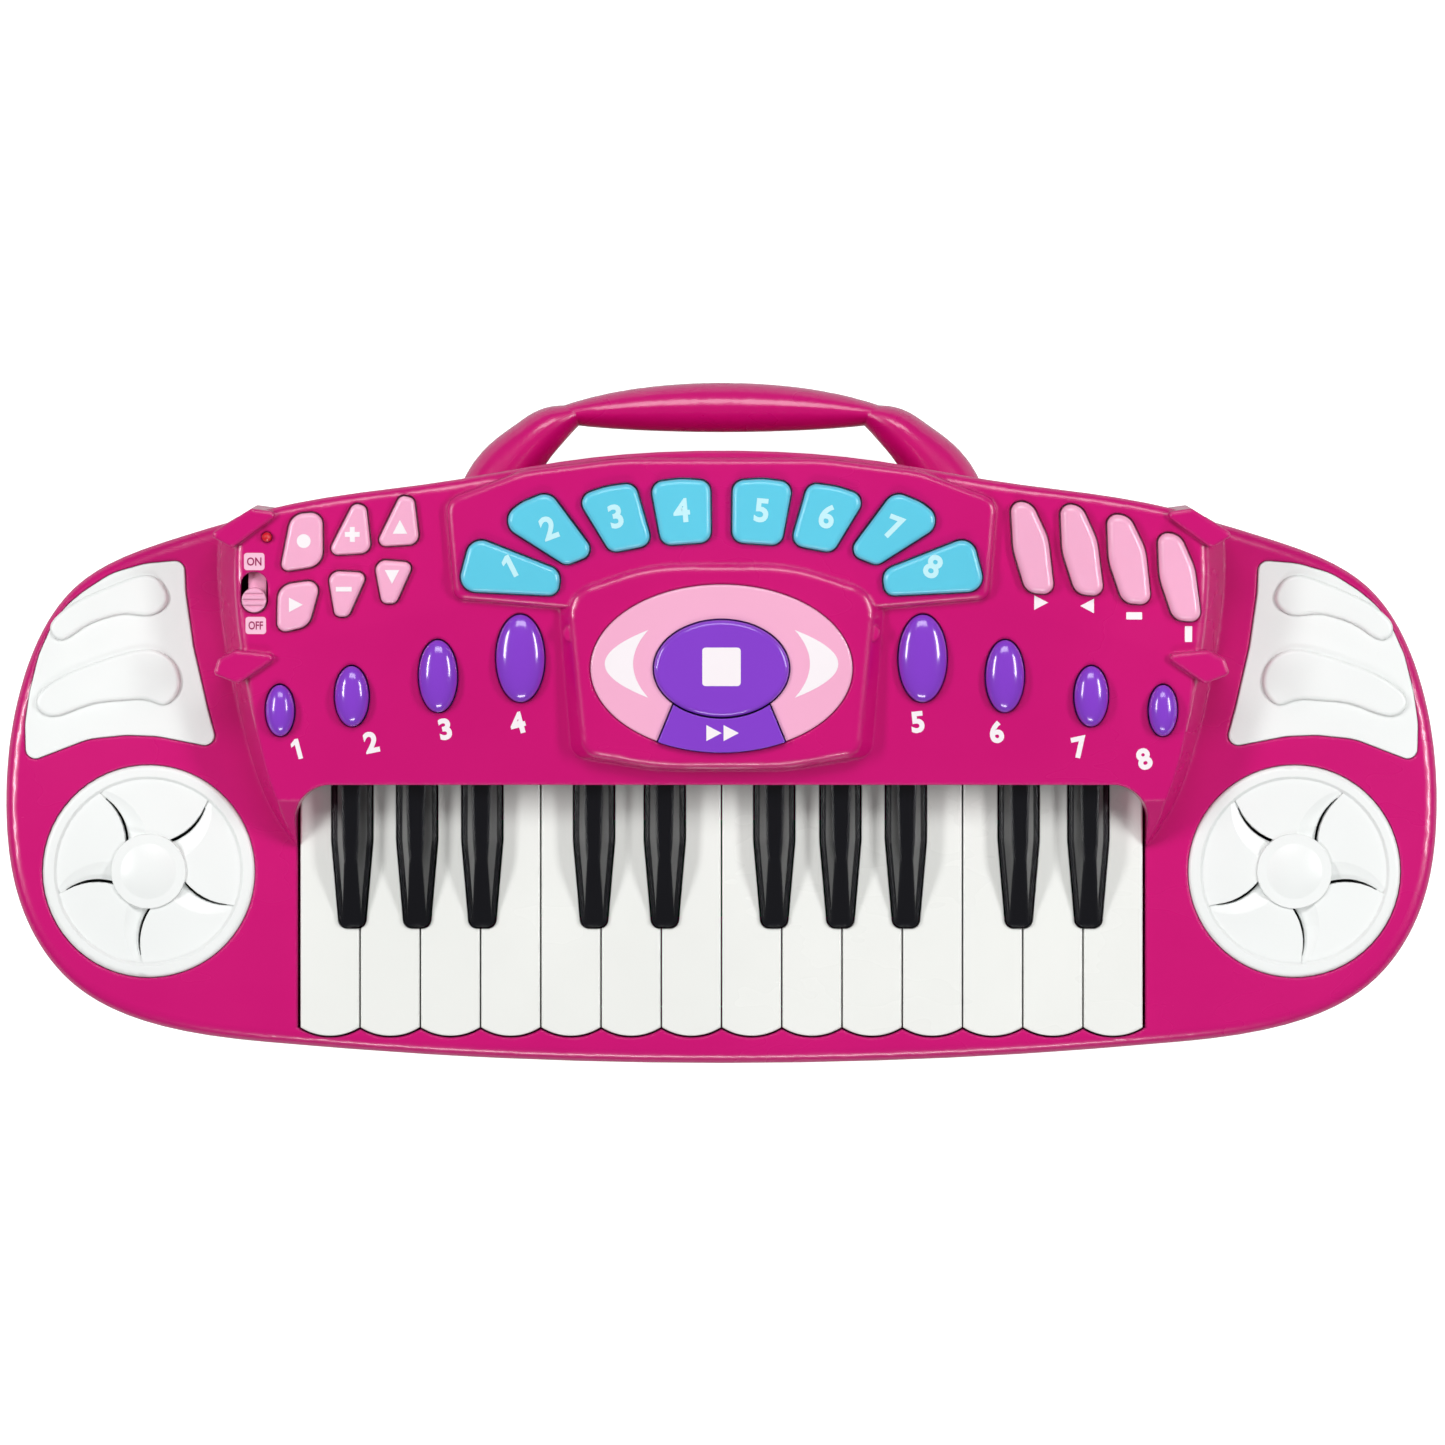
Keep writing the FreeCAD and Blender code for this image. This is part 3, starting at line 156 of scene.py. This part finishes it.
def moulding(name, colour, rubbed, roughness, edge, grain_scale, grain_depth, **shader_values):
    """Plastic material: the moulded surface's outputs on a Principled shader."""
    material = bpy.data.materials.new(name)
    material.use_nodes = True
    tree = material.node_tree
    shader = tree.nodes["Principled BSDF"]
    surface = tree.nodes.new("ShaderNodeGroup")
    surface.node_tree = moulded_surface
    for socket, value in (("Colour", (*colour, 1.0)), ("Rubbed Colour", (*rubbed, 1.0)),
                          ("Edge Radius", edge), ("Roughness", roughness),
                          ("Grain Scale", grain_scale), ("Grain Depth", grain_depth)):
        surface.inputs[socket].default_value = value
    wire(tree, surface, "Colour", shader, "Base Color")
    wire(tree, surface, "Roughness", shader, "Roughness")
    wire(tree, surface, "Normal", shader, "Normal")
    for socket, value in shader_values.items():
        shader.inputs[socket.replace("_", " ")].default_value = value
    return material


def dress(names, material):
    """Gives each named CAD node one material."""
    for name in names:
        for entry in nodes[name].material_slots:
            entry.material = material


magenta = (0.55, 0.0015, 0.155)
rubbed_magenta = (0.68, 0.03, 0.26)
dress(["upper_casing"], moulding("magenta_gloss_shell", magenta, rubbed_magenta, 0.26, 0.0013,
                                 900.0, 0.03, Coat_Weight=0.4, Coat_Roughness=0.07, IOR=1.5))
dress(["lower_casing"], moulding("magenta_satin_underside", magenta, rubbed_magenta, 0.38, 0.0006,
                                 1500.0, 0.10))


# Battery door: a flat magenta plate with a fine spark-eroded texture, held by one screw in its tab.

dress(["battery_door"], moulding("textured_door", magenta, rubbed_magenta, 0.5, 0.0004, 2600.0,
                                 0.3))


# Screws: zinc-plated self-tapping screws, eight for the casing and a small one for the door.

dress(["screws"], moulding("zinc_plate", (0.60, 0.60, 0.57), (0.80, 0.80, 0.78), 0.32, 0.0002,
                           3000.0, 0.12, Metallic=1.0))


# Electronics: green boards with grey rubber domes, a black chip and a black slide switch, speakers
# with black frames and dark magnets, blue-wrapped cells, zinc contacts, and a red lamp that shows
# through its hole in the console. One merged copy stands for the node, so that each of its parts
# can have its own material. The parts are told apart by their length, depth and place.

def connected_parts(triangles, count):
    """Part number of each triangle, where triangles that share a point belong to one part.

    Every point starts with its own number. Again and again each point takes the lowest number
    found in its triangles, and then that number's own number, until nothing changes."""
    label = np.arange(count)
    while True:
        fresh = label.copy()
        np.minimum.at(fresh, triangles.ravel(), np.repeat(label[triangles].min(axis=1), 3))
        fresh = fresh[fresh]
        if (fresh == label).all():
            return label[triangles[:, 0]]
        label = fresh


def merged_triangles(node):
    """Points of a CAD node in the row frame, each only once, and its triangles as point numbers."""
    mesh = node.data
    mesh.calc_loop_triangles()
    flat = np.empty(3 * len(mesh.vertices))
    mesh.vertices.foreach_get("co", flat)
    corners = np.empty(3 * len(mesh.loop_triangles), dtype=int)
    mesh.loop_triangles.foreach_get("vertices", corners)
    turn = np.array(node.matrix_world)
    placed = flat.reshape(-1, 3) @ turn[:3, :3].T + turn[:3, 3]
    _, first, number = np.unique(np.round(placed, 6), axis=0,
                                 return_index=True, return_inverse=True)
    triangles = number.ravel()[corners].reshape(-1, 3)
    a, b, c = triangles.T
    return placed[first], triangles[(a != b) & (b != c) & (c != a)]


board_green, rubber, black_frame, magnet, cell_wrap, contact, lamp_red = range(7)
finishes = [
    moulding("green_board", (0.01, 0.12, 0.05), (0.05, 0.25, 0.12), 0.35, 0.0002, 2500.0, 0.15),
    moulding("grey_rubber", (0.25, 0.25, 0.26), (0.35, 0.35, 0.36), 0.7, 0.0002, 2500.0, 0.2),
    moulding("black_frame", (0.012, 0.012, 0.013), (0.05, 0.05, 0.05), 0.5, 0.0003, 2500.0, 0.2),
    moulding("ferrite_magnet", (0.05, 0.05, 0.055), (0.12, 0.12, 0.12), 0.45, 0.0003, 3000.0, 0.2),
    moulding("blue_cell_wrap", (0.02, 0.08, 0.35), (0.10, 0.20, 0.50), 0.3, 0.0004, 1500.0, 0.03),
    moulding("zinc_contact", (0.60, 0.60, 0.57), (0.80, 0.80, 0.78), 0.32, 0.0002, 3000.0, 0.12,
             Metallic=1.0),
    moulding("red_lamp", (0.62, 0.01, 0.02), (0.80, 0.10, 0.10), 0.12, 0.0003, 2000.0, 0.02,
             Coat_Weight=0.5, Coat_Roughness=0.05)]

longer_than_speaker = 0.2
longer_than_cell = 0.053
longer_than_chip = 0.04
longer_than_dome = 0.0065
deeper_than_lamp = 0.01
shorter_than_lamp = 0.001
shorter_than_dome = 0.004
lamp_is_left_of = -0.13
magnet_top = 0.0111

points, triangles = merged_triangles(nodes["electronics"])
part = connected_parts(triangles, len(points))
centres = points[triangles].mean(axis=1)
finish = np.empty(len(triangles), dtype=int)
for label in np.unique(part):
    mine = part == label
    corners = points[triangles[mine]].reshape(-1, 3)
    low, high = corners.min(axis=0), corners.max(axis=0)
    length, depth, _ = high - low
    if length > longer_than_speaker:
        finish[mine] = board_green
    elif length > longer_than_cell:
        finish[mine] = np.where(centres[mine, 2] < magnet_top, magnet, black_frame)
    elif length > longer_than_chip:
        finish[mine] = cell_wrap
    elif length < shorter_than_lamp:
        finish[mine] = contact
    elif (low[0] + high[0]) / 2 < lamp_is_left_of and length < shorter_than_dome:
        finish[mine] = lamp_red
    elif length > longer_than_dome or depth > deeper_than_lamp:
        finish[mine] = black_frame
    else:
        finish[mine] = rubber
mesh = bpy.data.meshes.new("inside_parts")
mesh.from_pydata(points.tolist(), [], triangles.tolist())
mesh.update()
for material in finishes:
    mesh.materials.append(material)
mesh.polygons.foreach_set("material_index", finish)
inside_parts = bpy.data.objects.new("inside_parts", mesh)
bpy.context.scene.collection.objects.link(inside_parts)
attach(inside_parts, "casing")
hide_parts("electronics")


# White side inserts: satin white mouldings pushed up into the deck from inside, each with a wing
# panel of two humps and a speaker grille of five curved blades round a domed hub.

dress(["side_inserts"], moulding("white_satin_insert", (0.79, 0.81, 0.80), (0.86, 0.87, 0.86), 0.36,
                                 0.0005, 1400.0, 0.06))


# Keys: fourteen white satin keys and ten black ones with a polished, faceted top. Each snaps over
# a rail under the console and swings down at its front.

white_names = [name for name in bodies if name.startswith("white_key")]
black_names = [name for name in bodies if name.startswith("black_key")]
dress(white_names, moulding("white_key", (0.80, 0.81, 0.78), (0.86, 0.87, 0.84), 0.26, 0.0006,
                            1100.0, 0.03, Coat_Weight=0.2, Coat_Roughness=0.1))
dress(black_names, moulding("black_key", (0.006, 0.006, 0.008), (0.03, 0.03, 0.035), 0.13, 0.0014,
                            700.0, 0.02, Specular_IOR_Level=0.35, Coat_Weight=0.15,
                            Coat_Roughness=0.04))


# Buttons: pale pink, turquoise and purple caps that stand in close-fitting holes in the console.
# The turquoise and pink plastic is slightly cloudy, so light enters it a little.

cloudy = dict(Subsurface_Weight=0.12, Subsurface_Radius=(0.004, 0.003, 0.003), Subsurface_Scale=0.5)
pale_pink, rubbed_pink = (0.84, 0.40, 0.58), (0.92, 0.62, 0.74)
pink_cap = moulding("pale_pink_cap", pale_pink, rubbed_pink, 0.22, 0.0006, 900.0, 0.02,
                    Coat_Weight=0.3, Coat_Roughness=0.06, **cloudy)
turquoise_cap = moulding("turquoise_cap", (0.11, 0.56, 0.74), (0.30, 0.76, 0.88), 0.22, 0.0007,
                         900.0, 0.02, Coat_Weight=0.3, Coat_Roughness=0.06, **cloudy)
purple_cap = moulding("purple_cap", (0.22, 0.045, 0.56), (0.42, 0.18, 0.75), 0.18, 0.0006, 900.0,
                      0.02, Coat_Weight=0.5, Coat_Roughness=0.05)
ring_pink = moulding("pale_pink_ring", pale_pink, rubbed_pink, 0.24, 0.0005, 900.0, 0.02,
                     Coat_Weight=0.3, Coat_Roughness=0.06)
voice_names = [name for name in bodies if name.startswith("voice")]
drum_names = [name for name in bodies if name.startswith("drum")]
small_names = ["record_button", "playback_button", "volume_up_button", "volume_down_button",
               "tempo_up_button", "tempo_down_button", "power_switch_knob"]
dress([name for name in bodies if name.startswith("rhythm")], turquoise_cap)
dress(voice_names + ["stop_button", "demo_button"], purple_cap)
dress(drum_names + small_names, pink_cap)
dress(["centre_ring"], ring_pink)


# Printing: white, pale pink, pale blue and deep magenta ink on the caps and the console, a few
# hundredths of a millimetre thick. Each mark is drawn flat, then laid on the inclined console at
# its own height.

console_height = 0.043
console_rear = -0.0188
console_tilt = math.radians(5.5)
crease_radius = 0.418
crease_centre = 0.062087 - crease_radius
crease_fall = math.tan(math.radians(3.0))
ink_thickness = 0.00005
capital_share = 0.73


def band_fall(x, y):
    """Fall of the console's conical lower band: nought at the crease's arc, growing towards its
    centre by the cone's slope."""
    up = (y - console_rear) / math.cos(console_tilt)
    return np.maximum(0.0, (crease_radius - np.hypot(x, up - crease_centre)) * crease_fall)


def console_z(x, y, rise):
    """Height over plan points of a layer that lies rise above the console's inclined plane."""
    plane = console_height + (y - console_rear) * math.tan(console_tilt)
    return plane + rise / math.cos(console_tilt)


def lay_on_console(name, points, faces, place, angle, rise, material, body, on_band=False):
    """Mesh piece from flat points: turned by angle, moved to place and laid on the console's
    inclined plane, or on its lower band."""
    c, s = math.cos(math.radians(angle)), math.sin(math.radians(angle))
    x = place[0] + c * points[:, 0] - s * points[:, 1]
    y = place[1] + s * points[:, 0] + c * points[:, 1]
    z = console_z(x, y, rise - band_fall(x, y) * on_band) + points[:, 2]
    mesh = bpy.data.meshes.new(name)
    mesh.from_pydata(np.stack([x, y, z], axis=1).tolist(), [], faces)
    mesh.update()
    mesh.materials.append(material)
    piece = bpy.data.objects.new(name, mesh)
    bpy.context.scene.collection.objects.link(piece)
    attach(piece, body)


def drawn_text(text, height, weight):
    """Points and faces of a word in the built-in typeface, with its middle at the origin."""
    curve = bpy.data.curves.new("word", "FONT")
    curve.body = text
    curve.size = height / capital_share
    curve.offset = weight
    curve.extrude = ink_thickness / 2
    curve.resolution_u = 4
    holder = bpy.data.objects.new("word", curve)
    bpy.context.scene.collection.objects.link(holder)
    mesh = bpy.data.meshes.new_from_object(holder)
    points = np.array([v.co for v in mesh.vertices])
    faces = [tuple(p.vertices) for p in mesh.polygons]
    middle = (points.min(axis=0) + points.max(axis=0)) / 2
    bpy.data.objects.remove(holder)
    bpy.data.curves.remove(curve)
    bpy.data.meshes.remove(mesh)
    return points - middle + np.array([0.0, 0.0, ink_thickness / 2]), faces


def slab(outline):
    """Points and faces of an ink patch: its outline at two heights, capped and walled."""
    count = len(outline)
    flat = np.array(outline, dtype=float)
    low = np.column_stack([flat, np.zeros(count)])
    high = np.column_stack([flat, np.full(count, ink_thickness)])
    faces = [tuple(range(count))[::-1], tuple(range(count, 2 * count))]
    faces += [(i, (i + 1) % count, count + (i + 1) % count, count + i) for i in range(count)]
    return np.vstack([low, high]), faces


def rounded_box(half_x, half_y, radius):
    """Anticlockwise outline of a rectangle with round corners, each corner an arc of 6 points."""
    turn = np.radians(np.arange(0, 91, 18))
    arc = radius * np.stack([np.cos(turn), np.sin(turn)], axis=1)
    x, y = half_x - radius, half_y - radius
    turned = arc[:, ::-1]
    return np.vstack([arc + (x, y), turned * (-1, 1) + (-x, y), -arc + (-x, -y),
                      turned * (1, -1) + (x, -y)])


def ink(name, colour):
    """Printing ink: a thin even layer with a fine grain."""
    return moulding(name, colour, colour, 0.35, 0.00005, 2500.0, 0.05)


# White ink for the print; the same material also paints the highlights on the ring.
white_print_and_highlight_ink = ink("white_print_and_highlight_ink", (0.86, 0.80, 0.83))
pale_ink = ink("pale_pink_ink", (0.84, 0.50, 0.64))
pale_blue_ink = ink("pale_blue_ink", (0.50, 0.80, 0.86))
deep_ink = ink("deep_magenta_ink", (0.30, 0.003, 0.09))


def numeral(number, height, weight):
    """Points and faces of a digit; the one is an ink patch with a flag, the others are drawn."""
    if number > 1:
        return drawn_text(str(number), height, weight)
    stem_and_flag = [(-0.1, -1.0), (0.34, -1.0), (0.34, 1.0), (0.0, 1.0), (-0.5, 0.62),
                     (-0.5, 0.26), (-0.1, 0.46)]
    return slab(height / 2 * np.array(stem_and_flag))


voice_places = [(-0.1290, -0.0079, 14), (-0.1065, -0.0058, 12), (-0.0840, -0.0018, 10),
                (-0.0620, 0.0000, 15), (0.0596, 0.0003, 6), (0.0836, -0.0027, 8),
                (0.1090, -0.0073, 12), (0.1285, -0.0109, 18)]
voice_digit_height, voice_digit_weight = 0.0062, 0.00035
for number, (x, y, angle) in enumerate(voice_places, 1):
    points, faces = numeral(number, voice_digit_height, voice_digit_weight)
    lay_on_console("voice_number_%d" % number, points, faces, (x, y), angle, 0.0, white_print_and_highlight_ink,
                   "casing", on_band=True)

arch_cap_top = 0.0056
arch_digit_height, arch_digit_weight = 0.0070, 0.0003
for number in range(1, 9):
    low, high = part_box("rhythm_button_%d" % number)
    x, y = (low.x + high.x) / 2, (low.y + high.y) / 2
    points, faces = numeral(number, arch_digit_height, arch_digit_weight)
    lean = 0.5 * math.degrees(math.atan2(-x, y))
    lay_on_console("rhythm_number_%d" % number, points, faces, (x, y), lean, arch_cap_top,
                   pale_blue_ink, "rhythm_button_%d" % number)

small_cap_top = 0.0024
turn = np.radians(np.arange(0, 360, 15))
dot_radius, plus_unit = 0.0021, 0.00075
dot = dot_radius * np.stack([np.cos(turn), np.sin(turn)], axis=1)
triangle = np.array([(-0.0018, -0.0022), (0.0024, 0.0), (-0.0018, 0.0022)])
plus = plus_unit * np.array([(-1, -3), (1, -3), (1, -1), (3, -1), (3, 1), (1, 1), (1, 3), (-1, 3),
                             (-1, 1), (-3, 1), (-3, -1), (-1, -1)])
minus = np.array([(-0.0024, -0.0007), (0.0024, -0.0007), (0.0024, 0.0007), (-0.0024, 0.0007)])
marks = [("record_button", dot, (-0.1262, 0.0550), 0),
         ("playback_button", triangle, (-0.1290, 0.0358), 0),
         ("volume_up_button", plus, (-0.1115, 0.0570), 0),
         ("volume_down_button", minus, (-0.1142, 0.0405), 0),
         ("tempo_up_button", triangle, (-0.0971, 0.0590), 90),
         ("tempo_down_button", triangle, (-0.0996, 0.0445), -90)]
for body, outline, place, angle in marks:
    points, faces = slab(outline)
    lay_on_console(body.replace("button", "mark"), points, faces, place, angle, small_cap_top,
                   white_print_and_highlight_ink, body)

drum_marks = [(triangle, (0.0965, 0.0365), 0), (triangle, (0.1110, 0.0355), 180),
              (rounded_box(0.0024, 0.0011, 0.0002), (0.1250, 0.0325), 0),
              (rounded_box(0.0011, 0.0024, 0.0002), (0.1415, 0.0270), 0)]
for number, (outline, place, angle) in enumerate(drum_marks, 1):
    points, faces = slab(outline)
    lay_on_console("drum_mark_%d" % number, points, faces, place, angle, 0.0, white_print_and_highlight_ink, "casing")

word_height, word_weight, word_width = 0.0025, 0.00006, 0.0044
for word, place in (("ON", (-0.1414, 0.0489)), ("OFF", (-0.1411, 0.0296))):
    points, faces = slab(rounded_box(0.0031, 0.0026, 0.0009))
    lay_on_console("switch_label_" + word, points, faces, place, 0, 0.0, pale_ink, "casing")
    points, faces = drawn_text(word, word_height, word_weight)
    points *= (word_width / np.ptp(points[:, 0]), 1.0, 1.0)
    points[:, 2] += ink_thickness
    lay_on_console("switch_word_" + word, points, faces, place, 0, 0.0, deep_ink, "casing")

stop_cap_top, demo_cap_top, ring_top = 0.0071, 0.0065, 0.0053
points, faces = slab(rounded_box(0.0058, 0.0058, 0.0010))
lay_on_console("stop_mark", points, faces, (0.0, 0.0170), 0, stop_cap_top, white_print_and_highlight_ink, "stop_button")
demo_mark_size = 1.1
for side in (-1, 1):
    points, faces = slab(demo_mark_size * triangle)
    lay_on_console("demo_mark_%d" % (side + 1), points, faces, (0.0026 * side, -0.0030), 0,
                   demo_cap_top, white_print_and_highlight_ink, "demo_button")


# Painted highlights: two pale sickle shapes laid as white ink on the ring, thickest beside the stop
# button. They are not print but painted highlights, the sheen of the side lamps on the left and
# right of the ring's curve.

def crescent(side):
    """Outline of one painted highlight, a sickle: an outer and an inner parabola that meet at the
    two tips.
    """
    t = np.linspace(-1, 1, 25)
    half_height, middle_y = 0.01025, 0.0179
    tip, outer, inner = 0.0221, 0.0353, 0.0267
    out_x = tip + (outer - tip) * (1 - t ** 2)
    in_x = tip + (inner - tip) * (1 - t ** 2)
    y = middle_y + half_height * t
    outline = np.vstack([np.column_stack([out_x, y]), np.column_stack([in_x, y])[-2:0:-1]])
    return outline if side > 0 else (outline * (-1, 1))[::-1]


# Lay the two painted highlights on the ring's top, one on each side of the stop button.
for side in (-1, 1):
    points, faces = slab(crescent(side))
    lay_on_console("crescent_%d" % (side + 1), points, faces, (0.0, 0.0), 0, ring_top, white_print_and_highlight_ink,
                   "casing")


# Floor, light and camera: a white sheet under soft boxes, seen from straight above. The sheet is
# clear from below, so that the underside can be looked at.

floor_mesh = bpy.data.meshes.new("floor")
floor_z, floor_reach = -0.0002, 4
floor_corners = [(-1, -1), (1, -1), (1, 1), (-1, 1)]
floor_mesh.from_pydata([(floor_reach * x, floor_reach * y, floor_z) for x, y in floor_corners], [],
                       [(0, 1, 2, 3)])
floor = bpy.data.objects.new("floor", floor_mesh)
bpy.context.scene.collection.objects.link(floor)
paper = bpy.data.materials.new("white_paper")
paper.use_nodes = True
tree = paper.node_tree
shader = tree.nodes["Principled BSDF"]
for socket, value in (("Base Color", (0.4, 0.4, 0.4, 1.0)), ("Roughness", 0.9),
                      ("Specular IOR Level", 0.0), ("Emission Color", (1.0, 1.0, 1.0, 1.0))):
    shader.inputs[socket].default_value = value
path = add_node(tree, "ShaderNodeLightPath")
glow_as_light, extra_glow_to_camera = 0.15, 0.85
glow = sum_of(tree, "MULTIPLY_ADD", (path, "Is Camera Ray"), extra_glow_to_camera)
glow.inputs[2].default_value = glow_as_light
wire(tree, glow, "Value", shader, "Emission Strength")
clear = add_node(tree, "ShaderNodeBsdfTransparent")
side_seen = add_node(tree, "ShaderNodeNewGeometry")
either = add_node(tree, "ShaderNodeMixShader")
wire(tree, side_seen, "Backfacing", either, "Fac")
wire(tree, shader, "BSDF", either, 1)
wire(tree, clear, "BSDF", either, 2)
wire(tree, either, "Shader", tree.nodes["Material Output"], "Surface")
floor_mesh.materials.append(paper)

world = bpy.data.worlds.new("studio")
bpy.context.scene.world = world
world.use_nodes = True
backdrop = world.node_tree.nodes["Background"]
backdrop.inputs["Color"].default_value = (1.0, 1.0, 1.0, 1.0)
backdrop.inputs["Strength"].default_value = 0.12
bpy.context.scene.view_settings.view_transform = "Standard"

lit_point = (0.0, 0.0, 0.03)


def soft_box(name, place, length, width, power):
    """Rectangular area light that faces the keyboard, its long side level."""
    lamp = bpy.data.lights.new(name, "AREA")
    lamp.shape = "RECTANGLE"
    lamp.size = length
    lamp.size_y = width
    lamp.energy = power
    holder = bpy.data.objects.new(name, lamp)
    bpy.context.scene.collection.objects.link(holder)
    holder.location = place
    aim = np.array(lit_point) - np.array(place)
    flat = math.hypot(aim[0], aim[1])
    heading = math.atan2(aim[1], aim[0]) - math.pi / 2
    holder.rotation_euler = (math.atan2(flat, -aim[2]), 0.0, heading)


soft_box("left_box", (-0.95, 0.15, 0.85), 0.6, 0.16, 7.7)
soft_box("right_box", (0.95, 0.15, 0.85), 0.6, 0.16, 7.7)
soft_box("front_box", (0.0, -1.3, 0.75), 0.7, 0.16, 6.0)
soft_box("rear_box", (0.0, 0.80, 1.1), 0.9, 0.4, 7.5)

camera_data = bpy.data.cameras.new("camera")
camera_data.sensor_width = 36.0
camera_distance, framed_level = 1.6, 0.0215
frame_width = 0.44506
camera_data.lens = camera_data.sensor_width * camera_distance / frame_width
camera = bpy.data.objects.new("camera", camera_data)
camera.location = (0.0003, 0.0002, framed_level + camera_distance)
bpy.context.scene.collection.objects.link(camera)
bpy.context.scene.camera = camera
